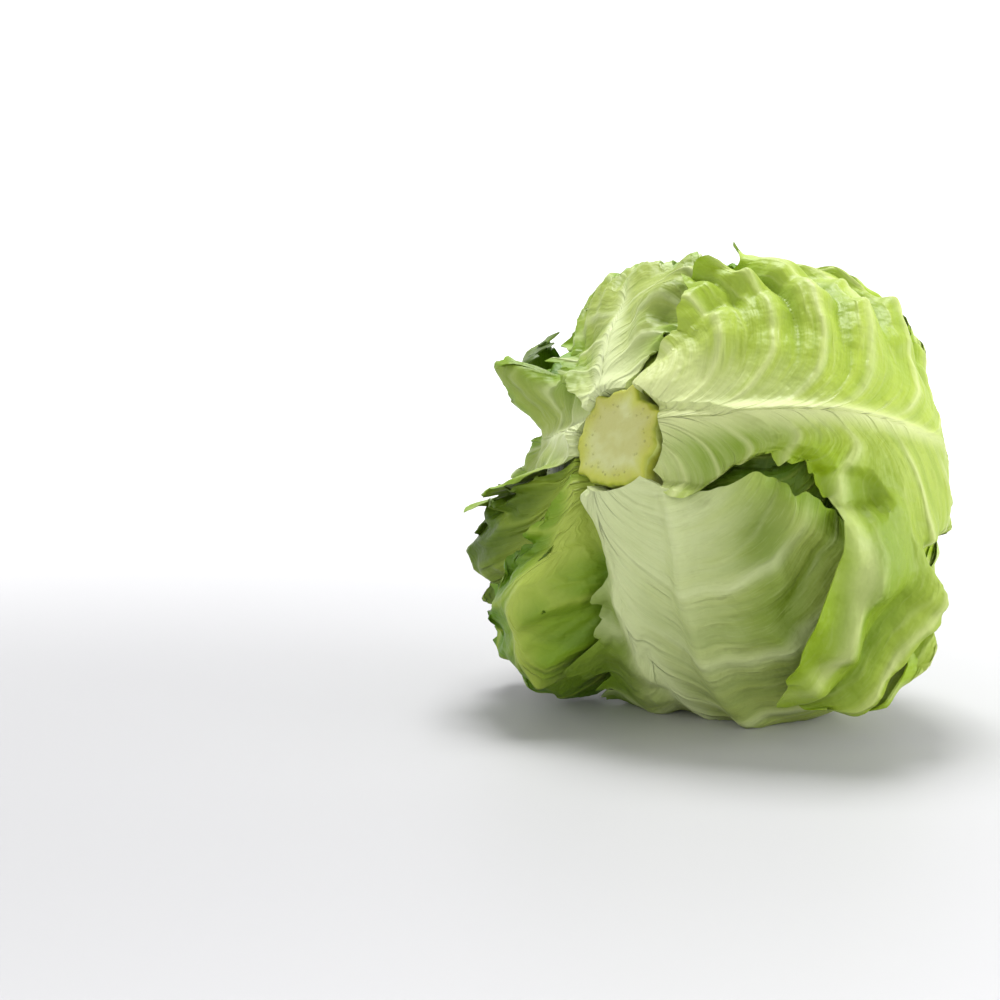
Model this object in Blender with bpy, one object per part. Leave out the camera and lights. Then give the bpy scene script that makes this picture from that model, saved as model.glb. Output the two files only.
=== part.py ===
"""An iceberg lettuce as cut from the field, lying on its side.

The head is built round its own axis, which runs from the middle of the head out through the
cut stem. A place on the head is given by two angles: its tilt from that axis, 0 at the cut
stem and 180 at the crown, and its turn about it, counted anticlockwise by someone who looks
at the cut stem. Leaves are laid on from the inside out, and each is draped over what it covers.
"""

import math
from dataclasses import dataclass

import bmesh
import bpy
import numpy as np
from mathutils import Vector
from mathutils.bvhtree import BVHTree

MM = 0.001

# Where the head lies: its middle above the table, and the way its cut stem points.
HEAD_CENTRE = np.array([15.99, -1.92, 72.5]) * MM
STEM_AZIMUTH = math.radians(307.5)
STEM_LIFT = math.radians(19.5)

# The cut stem.
STEM_CUT_RADIUS = 15.0 * MM
STEM_CUT_HEIGHT = 68.0 * MM
STEM_ROOT_RADIUS = 11.5 * MM
STEM_ROOT_HEIGHT = 27.0 * MM
STEM_SIDES = 28
STEM_SCARS = 7
STEM_SCAR_DEPTH = 0.9 * MM

# Clearances.
STEM_GAP = 0.5 * MM
LEAF_GAP = 0.75 * MM
SETTLED_GAP = 0.45 * MM

# The head's radius by tilt, in millimetres: its outside, and its dense heart.
TILTS = (0, 15, 35, 56, 72, 90, 110, 120, 134, 150, 165, 180)
HEAD_RADII = (69, 69, 68, 69.5, 71.5, 72, 67, 63, 59.5, 57.5, 56.5, 56)
HEART_RADII = (46, 48, 53, 56.5, 58, 58.5, 56, 53, 50, 48, 47.5, 47.5)
HEART_LEAVES = 9
HEART_LEAF_STEP = 1.3 * MM
HEART_TABLE_CLEARANCE = 8.5 * MM
HEART_DETAIL = 4

# The laying of leaves: how many directions the covered surface is sampled in, and how far
# a leaf spans from one high spot to the next.
SAMPLE_DIRECTIONS = 6000
DRAPE_SPAN = math.radians(5.0)

GREENS = {
    "heart": (0.62, 0.74, 0.34),
    "stem": (0.72, 0.70, 0.36),
    "pale": (0.40, 0.52, 0.20),
    "mid": (0.28, 0.45, 0.08),
    "deep": (0.10, 0.24, 0.02),
}


@dataclass
class Leaf:
    """One leaf, from its foot at the stem (v = 0) to its tip (v = 1), and from one edge
    (u = -1, clockwise) to the other (u = 1). Angles are in degrees, lengths in millimetres."""

    name: str
    turn: float
    tip: float
    widths: tuple
    level: float
    rows: int = 14
    columns: int = 12
    colour: str = "mid"
    tip_round: float = 0.25
    thickness: float = 1.0
    rib: float = 3.2
    rib_width: float = 9.0
    foot: float = 0.0
    folds: float = 4.0
    fold_depths: tuple = (2.0, 2.0)
    ruffle: float = 2.0
    ruffle_count: float = 5.0
    notch: float = 0.05
    tooth: float = 2.2
    phase: float = 0.0
    stand: tuple = ((0, 0), (1, 0))
    lean: tuple = (1.0, 1.0)
    floor: float = 4.0


LEAVES = (
    Leaf("inner_leaf", turn=62, tip=150, level=-9, rows=12, columns=10, colour="pale",
         widths=((0, 30, 30), (0.3, 50, 50), (0.7, 70, 70), (1, 55, 55)),
         fold_depths=(1.2, 1.2), ruffle=1.0, phase=0.1),
    Leaf("back_leaf", turn=196, tip=164, level=-7, rows=12, columns=10, colour="mid",
         widths=((0, 26, 26), (0.3, 46, 46), (0.7, 64, 64), (1, 60, 60)),
         fold_depths=(1.5, 1.5), ruffle=1.5, ruffle_count=6, phase=0.7),
    Leaf("crown_leaf", turn=40, tip=168, level=-5, rows=14, columns=12,
         widths=((0, 25, 25), (0.3, 50, 50), (0.7, 68, 68), (1, 80, 80)),
         fold_depths=(1.5, 1.5), ruffle=2.0, ruffle_count=6, phase=0.2),
    Leaf("top_back_leaf", turn=118, tip=116, level=-7, rows=14, columns=14,
         widths=((0, 24, 24), (0.3, 30, 30), (0.7, 38, 38), (1, 38, 38)),
         fold_depths=(1.0, 1.5), ruffle=4.5, ruffle_count=5, phase=0.35,
         stand=((0, 0), (0.62, 1), (0.76, 8), (0.88, 13), (1, 12)), lean=(0.5, 1.0)),
    Leaf("left_back_leaf", turn=170, tip=122, level=-7, rows=14, columns=14, colour="deep",
         widths=((0, 22, 22), (0.3, 30, 34), (0.7, 38, 38), (1, 32, 36)),
         fold_depths=(2.5, 2.5), ruffle=4.0, ruffle_count=6, phase=0.6,
         stand=((0, 0), (0.3, 2), (0.45, 10), (0.6, 14), (0.75, 13), (1, 7)), lean=(0.3, 0.4)),
    Leaf("loose_leaf", turn=210, tip=84, level=-7, rows=16, columns=14, colour="deep",
         widths=((0, 16, 16), (0.3, 18, 18), (0.6, 20, 24), (1, 18, 22)),
         fold_depths=(2.5, 1.5), ruffle=4.0, ruffle_count=6, phase=0.15,
         stand=((0, 0), (0.25, 8), (0.5, 19), (0.7, 14), (1, 10)), lean=(0.6, 0.7)),
    Leaf("lower_left_leaf", turn=237, tip=58, level=-6, rows=12, columns=14,
         widths=((0, 20, 20), (0.3, 18, 18), (0.7, 20, 16), (1, 16, 14)),
         fold_depths=(2.0, 1.0), ruffle=3.0, ruffle_count=4, phase=0.8,
         stand=((0, 0), (0.4, 1), (1, 5)), lean=(1.0, 0.0)),
    Leaf("left_leaf", turn=160, tip=50, level=-4, foot=2.0, rows=14, columns=18, colour="pale",
         widths=((0, 34, 32), (0.5, 32, 32), (1, 28, 30)), folds=2.5, fold_depths=(2.0, 2.5),
         ruffle=3.0, ruffle_count=4, stand=((0, 0), (0.5, 1.5), (1, 4)), lean=(0.3, 1.0),
         tip_round=0.12, phase=0.4),
    Leaf("upper_leaf", turn=100, tip=76, level=-3.5, foot=2.5, rows=16, columns=16, colour="pale",
         widths=((0, 32, 30), (0.18, 36, 30), (0.4, 42, 28), (0.8, 46, 28), (1, 40, 30)),
         fold_depths=(1.5, 1.5), ruffle=2.0, phase=0.3, rib_width=14.0, rib=2.2, tip_round=0.15,
         stand=((0, 0), (0.3, 2), (0.6, 3), (1, 1)), lean=(0.0, 1.0)),
    Leaf("lower_leaf", turn=256, tip=150, level=-2.5, foot=2.5, rows=21, columns=20, colour="pale",
         widths=((0, 18, 46), (0.14, 7, 60), (0.27, 9, 74), (0.43, 24, 78), (0.6, 34, 78), (1, 30, 50)),
         thickness=1.4, folds=3.5, fold_depths=(0.8, 1.0), ruffle=1.0, phase=0.55, rib=4.6, rib_width=14.0,
         floor=0.0),
    Leaf("right_leaf", turn=358, tip=132, level=-4, foot=2.5, rows=52, columns=22, colour="pale",
         widths=((0, 46, 52), (0.10, 49, 56), (0.15, 46, 58), (0.22, 26, 59), (0.33, 15, 64),
                 (0.42, 18, 68), (0.50, 28, 70), (0.56, 46, 71), (0.63, 70, 72), (0.72, 84, 72),
                 (0.82, 76, 70), (1, 44, 56)),
         folds=7.0, fold_depths=(3.4, 5.6), ruffle=1.0, ruffle_count=7, rib=4.5, rib_width=9.0, tooth=1.6),
)

# Dents and swellings of the whole head: tilt, turn, height and reach in degrees.
HEAD_SWELLS = (
    (92, 255, 6.5, 40),
    (127, 273, 10.5, 35),
    (115, 38, -5.0, 38),
)


def head_axes():
    """The stem's direction, and the two directions that turn is counted from."""
    stem = np.array([
        math.cos(STEM_LIFT) * math.sin(STEM_AZIMUTH),
        -math.cos(STEM_LIFT) * math.cos(STEM_AZIMUTH),
        math.sin(STEM_LIFT),
    ])
    right = np.array([1.0, 0.0, 0.0])
    right = right - (right @ stem) * stem
    right /= np.linalg.norm(right)
    return stem, right, np.cross(stem, right)


STEM_AXIS, TURN_ZERO, TURN_NINETY = head_axes()


def direction(tilt, turn):
    """Unit vectors for tilt and turn in radians."""
    tilt, turn = np.asarray(tilt)[..., None], np.asarray(turn)[..., None]
    across = np.cos(turn) * TURN_ZERO + np.sin(turn) * TURN_NINETY
    return np.cos(tilt) * STEM_AXIS + np.sin(tilt) * across


def smooth_through(stations, x):
    """A curve through the stations that doesn't overshoot them."""
    xs, ys = (np.array(c, float) for c in zip(*stations))
    steps = np.diff(ys) / np.diff(xs)
    slopes = np.zeros_like(ys)
    inner = np.where(steps[1:] * steps[:-1] > 0,
                     2 * steps[1:] * steps[:-1] / (steps[1:] + steps[:-1] + 1e-12), 0)
    slopes[1:-1] = inner
    slopes[0], slopes[-1] = steps[0], steps[-1]
    x = np.clip(x, xs[0], xs[-1])
    i = np.clip(np.searchsorted(xs, x, side="right") - 1, 0, len(xs) - 2)
    h = xs[i + 1] - xs[i]
    t = (x - xs[i]) / h
    return ((1 + 2 * t) * (1 - t) ** 2 * ys[i] + t * (1 - t) ** 2 * h * slopes[i]
            + t * t * (3 - 2 * t) * ys[i + 1] + t * t * (t - 1) * h * slopes[i + 1])


def smoothstep(low, high, x):
    t = np.clip((x - low) / (high - low), 0, 1)
    return t * t * (3 - 2 * t)


def sphere_directions(count):
    """Evenly spread unit vectors, along a golden spiral."""
    i = np.arange(count) + 0.5
    height = 1 - 2 * i / count
    turn = i * math.pi * (3 - math.sqrt(5))
    ring = np.sqrt(1 - height**2)
    return np.stack([ring * np.cos(turn), ring * np.sin(turn), height], axis=1)


def swollen(radii, ways):
    """The head's or the heart's radius in metres along unit vectors, with its swellings."""
    tilt = np.degrees(np.arccos(np.clip(ways @ STEM_AXIS, -1, 1)))
    radius = smooth_through(tuple(zip(TILTS, radii)), tilt)
    for swell_tilt, swell_turn, height, reach in HEAD_SWELLS:
        middle = direction(math.radians(swell_tilt), math.radians(swell_turn))
        off = np.degrees(np.arccos(np.clip(ways @ middle, -1, 1)))
        radius += height * np.exp(-((off / reach) ** 2))
    return radius * MM


def heart_radius(ways):
    """The heart's radius in metres along unit vectors, with the edges of its leaves raised."""
    tilt = np.arccos(np.clip(ways @ STEM_AXIS, -1, 1))
    turn = np.arctan2(ways @ TURN_NINETY, ways @ TURN_ZERO)
    radius = swollen(HEART_RADII, ways)
    # Each heart leaf's edge spirals over the crown, as a step down to the leaf below it.
    spiral = (turn / math.tau * HEART_LEAVES + 2.2 * np.cos(tilt)) % 1.0
    step = smoothstep(0.0, 0.25, spiral) * (1 - smoothstep(0.75, 1.0, spiral))
    radius += HEART_LEAF_STEP * step * np.sin(tilt) ** 2
    return soft_floor(radius, ways, HEAD_CENTRE[2] - HEART_TABLE_CLEARANCE)


def soft_floor(radius, ways, drop):
    """The radius kept above a level plane that far under the head's middle, with a soft turn."""
    to_plane = np.where(ways[..., 2] < -0.2, drop / np.maximum(-ways[..., 2], 0.2), 1.0)
    sharpness = 26
    return (radius ** -sharpness + to_plane ** -sharpness) ** (-1 / sharpness)


class Covered:
    """The outermost surface so far, as a radius in each of many directions."""

    def __init__(self, heart):
        self.ways = sphere_directions(SAMPLE_DIRECTIONS).astype(np.float32)
        self.radii = np.zeros(len(self.ways), np.float32)
        self.highest = self.radii
        self.corners = []
        self.add(heart)

    def add(self, obj):
        mesh = obj.data
        tree = BVHTree.FromPolygons(
            [v.co for v in mesh.vertices], [tuple(p.vertices) for p in mesh.polygons])
        centre = Vector(HEAD_CENTRE)
        self.corners += [v.co - centre for v in mesh.vertices]
        reach = 0.3
        for i, way in enumerate(self.ways):
            out = Vector(way)
            hit = tree.ray_cast(centre + out * reach, -out, reach)
            if hit[0] is not None:
                self.radii[i] = max(self.radii[i], (hit[0] - centre).length)
        self.highest = np.zeros_like(self.radii)
        for start in range(0, len(self.ways), 500):
            near = self.ways[start:start + 500] @ self.ways.T >= math.cos(DRAPE_SPAN)
            self.highest[start:start + 500] = (near * self.radii).max(axis=1)

    def drape(self, ways):
        """The radius at which a leaf along these directions rests on what is under it."""
        near = math.cos(DRAPE_SPAN)
        weight = np.clip(ways.astype(np.float32) @ self.ways.T - near, 1e-12, None)
        return (weight @ self.highest / weight.sum(axis=1)).astype(float)


def settle(covered, ways, radii, triangles):
    """Lifts a leaf's places until its faces, too, clear what is under them."""
    radii = radii.copy()
    under = [(Vector(way), highest) for way, highest in zip(covered.ways, covered.highest)]
    under += [(corner.normalized(), corner.length) for corner in covered.corners]
    for _ in range(6):
        points = [Vector(p) for p in ways * radii[:, None]]
        tree = BVHTree.FromPolygons(points, triangles)
        lift = np.zeros_like(radii)
        for way, highest in under:
            hit = tree.ray_cast(Vector((0, 0, 0)), way, 0.3)
            if hit[0] is not None:
                short = highest + SETTLED_GAP - hit[0].length
                if short > 0:
                    corners = list(triangles[hit[2]])
                    lift[corners] = np.maximum(lift[corners], short)
        radii += lift
        if not lift.any():
            break
    return radii


def leaf_outline(leaf, u, v, foot):
    """Tilt and turn of the leaf's places, in radians."""
    stations = np.array(leaf.widths, float)
    low = smooth_through(tuple(zip(stations[:, 0], stations[:, 1])), v)
    high = smooth_through(tuple(zip(stations[:, 0], stations[:, 2])), v)
    narrowed = 1 - 0.3 * v**6
    waves = np.sin(math.tau * (0.5 * leaf.ruffle_count * v + leaf.phase)) * smoothstep(0.1, 0.4, v)
    waves = 1 + leaf.notch * waves
    turn = np.radians(leaf.turn + np.where(u < 0, low, high) * u * waves * narrowed)
    scallop = 1 + 0.5 * leaf.notch * np.sin(math.tau * (1.7 * u + leaf.phase)) * v
    length = (math.radians(leaf.tip) - foot) * (1 - leaf.tip_round * np.abs(u) ** 2.6) * scallop
    # The teeth: short uneven points along the side edges and the tip.
    along = leaf.phase + leaf.ruffle_count * (1.9 * v + 1.1 * np.sign(u) * (v > 0.97) * np.abs(u))
    tooth = 0.6 * np.sin(math.tau * along) + 0.4 * np.sin(math.tau * 1.9 * along + 1.3)
    tooth = 0.015 * leaf.tooth * tooth * smoothstep(0.12, 0.3, v)
    turn = turn + tooth * np.sign(u) * np.abs(u) ** 12
    ends = leaf.phase + leaf.ruffle_count * 1.3 * u
    length = length + 0.015 * leaf.tooth * np.sin(math.tau * ends) * v**12
    return foot + v * length, turn


def from_midrib(leaf, turn):
    """How far a place is from the leaf's midrib, as a share of the leaf's greatest half-width.
    Where the edge is cut away, the veins go on as if it weren't."""
    widest = max(max(low, high) for _, low, high in leaf.widths)
    return np.abs(turn - math.radians(leaf.turn)) / math.radians(widest)


def vein_count(leaf, off, v):
    """A coordinate that is constant along a vein and counts them from the foot to the tip."""
    return leaf.folds * (v - 0.62 * off * (1 - 0.35 * v)) + leaf.phase


def leaf_relief(leaf, u, v, turn):
    """How far the leaf stands out from what it covers, in millimetres: folds along its veins,
    and an edge gathered into ruffles. It is never less than zero."""
    off = from_midrib(leaf, turn)
    side = np.where(u < 0, leaf.fold_depths[0], leaf.fold_depths[1])
    across = smoothstep(0.08, 0.6, off) * smoothstep(0.08, 0.4, v)
    pillow = (0.5 - 0.5 * np.cos(math.tau * vein_count(leaf, off, v))) ** 0.6
    edge = smoothstep(0.62, 1.0, (np.abs(u) ** 5 + v**5) ** 0.2)
    ripple = 0.5 + 0.5 * np.sin(math.tau * (leaf.ruffle_count * (0.9 * v + 0.5 * u) + leaf.phase))
    lean = np.where(u < 0, 1 + (leaf.lean[0] - 1) * -u, 1 + (leaf.lean[1] - 1) * u)
    stand = smooth_through(leaf.stand, v) * lean
    return side * across * pillow + leaf.ruffle * edge * ripple * smoothstep(0.1, 0.35, v) + stand


def leaf_thickness(leaf, u, v, turn, tilt, radius):
    """The blade, thicker along its midrib, which is widest at the foot, and fleshy at the foot."""
    from_rib = np.abs(turn - np.radians(leaf.turn)) * radius * np.sin(tilt)
    width = leaf.rib_width * MM * (1 - 0.75 * v)
    rib = leaf.rib * (1 - v) ** 1.3 * np.exp(-((from_rib / (0.5 * width)) ** 2))
    fleshy = leaf.foot * (1 - smoothstep(0, 0.14, v))
    return (leaf.thickness + rib + fleshy) * MM


def foot_tilt(covered, turn):
    """The tilt at which each place on a leaf's foot meets the stem."""
    tilt = np.full(turn.shape, math.radians(16.0))
    for _ in range(3):
        radius = covered.drape(direction(tilt, turn)) + LEAF_GAP
        tilt = np.arcsin((STEM_CUT_RADIUS + STEM_GAP) / radius)
    return tilt


def leaf_radius(leaf, covered, u, v, turn, ways):
    """The leaf's inner face: it follows the head's outline at its own level, or lies on what
    it covers where that stands higher."""
    level = swollen(HEAD_RADII, ways) + leaf.level * MM
    rest = covered.drape(ways) + LEAF_GAP
    blend = 1.5 * MM
    base = 0.5 * (level + rest + np.sqrt((level - rest) ** 2 + blend**2))
    return base + leaf_relief(leaf, u, v, turn) * MM


def make_leaf(leaf, covered):
    """The leaf as a grid laid over what is covered, then thickened outwards."""
    bm = bmesh.new()
    bmesh.ops.create_grid(bm, x_segments=leaf.columns, y_segments=leaf.rows, size=1.0)
    bm.verts.ensure_lookup_table()
    flat = np.array([v.co[:2] for v in bm.verts])
    # The columns are closest together beside the midrib.
    u, v = np.sign(flat[:, 0]) * np.abs(flat[:, 0]) ** 1.3, 0.5 + 0.5 * flat[:, 1]
    _, foot_turn = leaf_outline(leaf, u, np.zeros_like(v), math.radians(15))
    foot = foot_tilt(covered, foot_turn)
    tilt, turn = leaf_outline(leaf, u, v, foot)
    ways = direction(tilt, turn)
    inner = leaf_radius(leaf, covered, u, v, turn, ways)
    for vert, point in zip(bm.verts, ways * inner[:, None]):
        vert.co = point
    bmesh.ops.triangulate(bm, faces=bm.faces[:], quad_method="SHORT_EDGE")
    inner = settle(covered, ways, inner, [tuple(v.index for v in f.verts) for f in bm.faces])
    thickness = leaf_thickness(leaf, u, v, turn, tilt, inner)
    drop = HEAD_CENTRE[2] - leaf.floor * MM
    outer = np.minimum(inner + thickness, drop / np.maximum(-ways[:, 2], 1e-3))
    inner = np.minimum(inner, outer - thickness)
    outer_points = HEAD_CENTRE + ways * outer[:, None]
    for vert, point in zip(bm.verts, HEAD_CENTRE + ways * inner[:, None]):
        vert.co = point
    bm.verts.ensure_lookup_table()
    order = {tuple(vert.co): i for i, vert in enumerate(bm.verts)}
    made = bmesh.ops.extrude_face_region(bm, geom=bm.faces[:])["geom"]
    for vert in made:
        if isinstance(vert, bmesh.types.BMVert):
            vert.co = outer_points[order[tuple(vert.co)]]
    return add_object(leaf.name, bm, leaf.colour)


def make_heart():
    """The tight ball of inner leaves, with a socket for the stem."""
    bm = bmesh.new()
    bmesh.ops.create_icosphere(bm, subdivisions=HEART_DETAIL, radius=1.0)
    ways = np.array([v.co.normalized() for v in bm.verts])
    for vert, point in zip(bm.verts, HEAD_CENTRE + ways * heart_radius(ways)[:, None]):
        vert.co = point
    return add_object("heart", bm, "heart")


def stem_surface(grow):
    """The stem as a tapered post with the scars of cut leaves down its sides, grown outwards."""
    bm = bmesh.new()
    bmesh.ops.create_cone(bm, cap_ends=True, segments=STEM_SIDES, radius1=1.0, radius2=1.0, depth=2.0)
    sides = [e for e in bm.edges if abs(e.verts[0].co.z - e.verts[1].co.z) > 1]
    bmesh.ops.subdivide_edges(bm, edges=sides, cuts=4)
    for vert in bm.verts:
        up = 0.5 + 0.5 * vert.co.z
        turn = math.atan2(vert.co.y, vert.co.x)
        radius = STEM_ROOT_RADIUS + (STEM_CUT_RADIUS - STEM_ROOT_RADIUS) * min(1.0, up * 1.35)
        scar = 0.5 + 0.5 * math.cos(STEM_SCARS * turn + 0.6 * math.sin(2 * turn))
        radius += grow - (0 if grow else STEM_SCAR_DEPTH * scar)
        height = STEM_ROOT_HEIGHT - grow + up * (STEM_CUT_HEIGHT - STEM_ROOT_HEIGHT + 2 * grow)
        across = math.cos(turn) * TURN_ZERO + math.sin(turn) * TURN_NINETY
        vert.co = HEAD_CENTRE + height * STEM_AXIS + radius * across
    return bm


def cut_socket(heart):
    """Cuts the stem's socket out of the heart, so that the two don't overlap."""
    cutter = add_object("stem_socket", stem_surface(STEM_GAP), "heart")
    cutter.hide_render = True
    cutter.display_type = "WIRE"
    cut = heart.modifiers.new("socket", "BOOLEAN")
    cut.operation = "DIFFERENCE"
    cut.object = cutter


def material(name):
    found = bpy.data.materials.get(name) or bpy.data.materials.new(name)
    found.use_nodes = True
    shader = found.node_tree.nodes["Principled BSDF"]
    shader.inputs["Base Color"].default_value = (*GREENS[name], 1)
    shader.inputs["Roughness"].default_value = 0.45
    shader.inputs["Metallic"].default_value = 0.0
    return found


def add_object(name, bm, colour):
    bmesh.ops.recalc_face_normals(bm, faces=bm.faces[:])
    if bm.calc_volume(signed=True) < 0:
        bmesh.ops.reverse_faces(bm, faces=bm.faces[:])
    mesh = bpy.data.meshes.new(name)
    bm.to_mesh(mesh)
    bm.free()
    mesh.set_sharp_from_angle(angle=math.radians(50))
    mesh.materials.append(material(colour))
    obj = bpy.data.objects.new(name, mesh)
    lettuce = bpy.data.collections.get("iceberg_lettuce")
    lettuce.objects.link(obj)
    return obj


def main():
    for obj in list(bpy.data.objects):
        bpy.data.objects.remove(obj)
    lettuce = bpy.data.collections.new("iceberg_lettuce")
    bpy.context.scene.collection.children.link(lettuce)
    heart = make_heart()
    covered = Covered(heart)
    for leaf in LEAVES:
        covered.add(make_leaf(leaf, covered))
    cut_socket(heart)
    add_object("cut_stem", stem_surface(0), "stem")


main()
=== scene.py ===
# %% [markdown]
# # A head of iceberg lettuce
#
# The head lies on its side, as it was cut, with its pale stem towards us. It is a tight heart
# wrapped in big leaves, and each leaf lies over the ones inside it. So the lesson makes one
# leaf well, as a rule, and lays that rule down eleven times, from the inside out.

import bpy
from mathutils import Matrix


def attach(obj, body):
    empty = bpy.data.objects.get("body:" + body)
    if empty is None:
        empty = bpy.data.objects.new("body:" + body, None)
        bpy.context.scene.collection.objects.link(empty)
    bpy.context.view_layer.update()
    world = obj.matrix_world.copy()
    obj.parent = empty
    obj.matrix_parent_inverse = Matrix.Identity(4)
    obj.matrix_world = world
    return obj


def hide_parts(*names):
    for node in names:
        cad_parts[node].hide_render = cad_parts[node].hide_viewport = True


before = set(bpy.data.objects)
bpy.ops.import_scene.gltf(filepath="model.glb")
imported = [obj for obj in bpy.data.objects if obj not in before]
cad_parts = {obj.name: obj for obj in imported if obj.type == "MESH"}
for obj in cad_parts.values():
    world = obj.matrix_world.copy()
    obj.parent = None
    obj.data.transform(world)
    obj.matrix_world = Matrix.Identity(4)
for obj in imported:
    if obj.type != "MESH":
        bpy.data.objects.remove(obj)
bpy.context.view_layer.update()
print("nodes:", ", ".join(sorted(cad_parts)))

# %% [markdown]
# ## The camera
#
# A long lens from a hand's height above the table sees a lettuce as we remember it, round and
# not stretched. The place of the head in the picture is worked out from the picture's own
# sums: a ray through the pixel where the middle of the head should fall, and a step back
# along it. That is easier to trust than nudging a camera by eye.

# %% Camera
import math

import bpy
import numpy as np
from mathutils import Matrix, Vector

MM = 0.001
HEAD_MIDDLE = np.array([15.99, -1.92, 72.5]) * MM
PICTURE_SIZE = 1000
HEAD_PIXEL = (757, 487)
LENS, SENSOR = 85.0, 36.0
LOOK_DOWN = math.radians(9)
MM_PER_PIXEL = 0.335

focal_pixels = PICTURE_SIZE * LENS / SENSOR
right = np.array([1.0, 0.0, 0.0])
forward = np.array([0.0, math.cos(LOOK_DOWN), -math.sin(LOOK_DOWN)])
up = np.cross(right, forward)
ray = (forward + right * (HEAD_PIXEL[0] - PICTURE_SIZE / 2) / focal_pixels
       + up * (PICTURE_SIZE / 2 - HEAD_PIXEL[1]) / focal_pixels)
camera_place = HEAD_MIDDLE - ray * focal_pixels * MM_PER_PIXEL * MM


def new_object(name, data):
    """Makes an object and puts it in the scene."""
    obj = bpy.data.objects.new(name, data)
    bpy.context.scene.collection.objects.link(obj)
    return obj


camera = new_object("camera", bpy.data.cameras.new("camera"))
camera.data.lens, camera.data.sensor_width, camera.data.clip_start = LENS, SENSOR, 0.01
camera.matrix_world = Matrix((
    (*(float(x) for x in (right[0], up[0], -forward[0])), camera_place[0]),
    (*(float(x) for x in (right[1], up[1], -forward[1])), camera_place[1]),
    (*(float(x) for x in (right[2], up[2], -forward[2])), camera_place[2]),
    (0, 0, 0, 1),
))
bpy.context.scene.camera = camera
print("camera is", round(float(np.linalg.norm(camera_place - HEAD_MIDDLE)), 3), "m from the head")

# %% [markdown]
# ## Arithmetic with nodes
#
# Both the leaves' shape and their colour are sums: a fold here, a paler vein there. Written
# out node by node they would fill pages, so this small class lets a socket be added and
# multiplied like a number. Each sum it meets becomes one Math node in the tree.


# %% A wire through a node tree
class Wire:
    """A value on its way through a node tree."""

    def __init__(self, tree, socket):
        self.tree, self.socket = tree, socket

    def __add__(self, other):
        return work_out(self.tree, "ADD", self, other)

    def __radd__(self, other):
        return work_out(self.tree, "ADD", other, self)

    def __sub__(self, other):
        return work_out(self.tree, "SUBTRACT", self, other)

    def __rsub__(self, other):
        return work_out(self.tree, "SUBTRACT", other, self)

    def __mul__(self, other):
        return work_out(self.tree, "MULTIPLY", self, other)

    def __rmul__(self, other):
        return work_out(self.tree, "MULTIPLY", other, self)

    def __truediv__(self, other):
        return work_out(self.tree, "DIVIDE", self, other)

    def __pow__(self, other):
        return work_out(self.tree, "POWER", self, other)

    def __abs__(self):
        return work_out(self.tree, "ABSOLUTE", self)


def feed(tree, socket, value):
    """Joins a wire to a socket, or sets the socket to a plain value."""
    if isinstance(value, Wire):
        tree.links.new(value.socket, socket)
    elif value is not None:
        socket.default_value = value


def add_node(tree, kind, inputs=(), output=0, **settings):
    """Adds a node with its settings and inputs, and gives the wire from one of its outputs."""
    node = tree.nodes.new(kind)
    for name, value in settings.items():
        setattr(node, name, value)
    for name, value in dict(inputs).items():
        feed(tree, node.inputs[name], value)
    return Wire(tree, node.outputs[output])


def work_out(tree, operation, *terms):
    return add_node(tree, "ShaderNodeMath", enumerate(terms), operation=operation)


def ease(value, low, high):
    """0 below low, 1 above high, and smooth between them."""
    return add_node(value.tree, "ShaderNodeMapRange", {0: value, 1: low, 2: high},
                    interpolation_type="SMOOTHSTEP")


def bell(value, width):
    """1 where the value is 0, falling to nothing a little past the width."""
    return work_out(value.tree, "EXPONENT", (value / width) ** 2.0 * -1.0)


def fraction(value):
    return work_out(value.tree, "FRACT", value)


def vector_sum(tree, operation, *terms, output=0):
    return add_node(tree, "ShaderNodeVectorMath", enumerate(terms), output=output, operation=operation)


def noise(tree, place, scale, detail=2.0, roughness=0.5):
    return add_node(tree, "ShaderNodeTexNoise",
                    {"Vector": place, "Scale": scale, "Detail": detail, "Roughness": roughness})


print("nodes can be added up")

# %% [markdown]
# ## Where a leaf lies
#
# A lettuce is nearly a ball, so a place on it is given like one on a globe. The pole is the
# cut stem: the tilt is how far a place is from it, and the turn is how far round. A leaf is
# then a sheet of places, from its foot at the stem to its tip near the crown, and one more
# number, the radius, says how far out the sheet stands there.

# %% Directions on the head
STEM_AZIMUTH, STEM_LIFT = math.radians(307.5), math.radians(19.5)
stem_axis = np.array([math.cos(STEM_LIFT) * math.sin(STEM_AZIMUTH),
                      -math.cos(STEM_LIFT) * math.cos(STEM_AZIMUTH), math.sin(STEM_LIFT)])
turn_zero = right - (right @ stem_axis) * stem_axis
turn_zero /= np.linalg.norm(turn_zero)
turn_ninety = np.cross(stem_axis, turn_zero)

TILTS = (0, 15, 35, 56, 72, 90, 110, 120, 134, 150, 165, 180)
HEAD_RADII = (69, 69, 68, 69.5, 71.5, 72, 67, 63, 59.5, 57.5, 56.5, 56)
HEART_RADII = (46, 48, 53, 56.5, 58, 58.5, 56, 53, 50, 48, 47.5, 47.5)
# Where the head swells or is hollow: tilt, turn, height in millimetres, reach in degrees.
HEAD_SWELLS = ((92, 255, 6.5, 40), (127, 273, 10.5, 35), (115, 38, -5.0, 38))


def direction(tilt, turn):
    """Unit vectors for tilt and turn in radians."""
    tilt, turn = np.asarray(tilt)[..., None], np.asarray(turn)[..., None]
    return (np.cos(tilt) * stem_axis
            + np.sin(tilt) * (np.cos(turn) * turn_zero + np.sin(turn) * turn_ninety))


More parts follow.
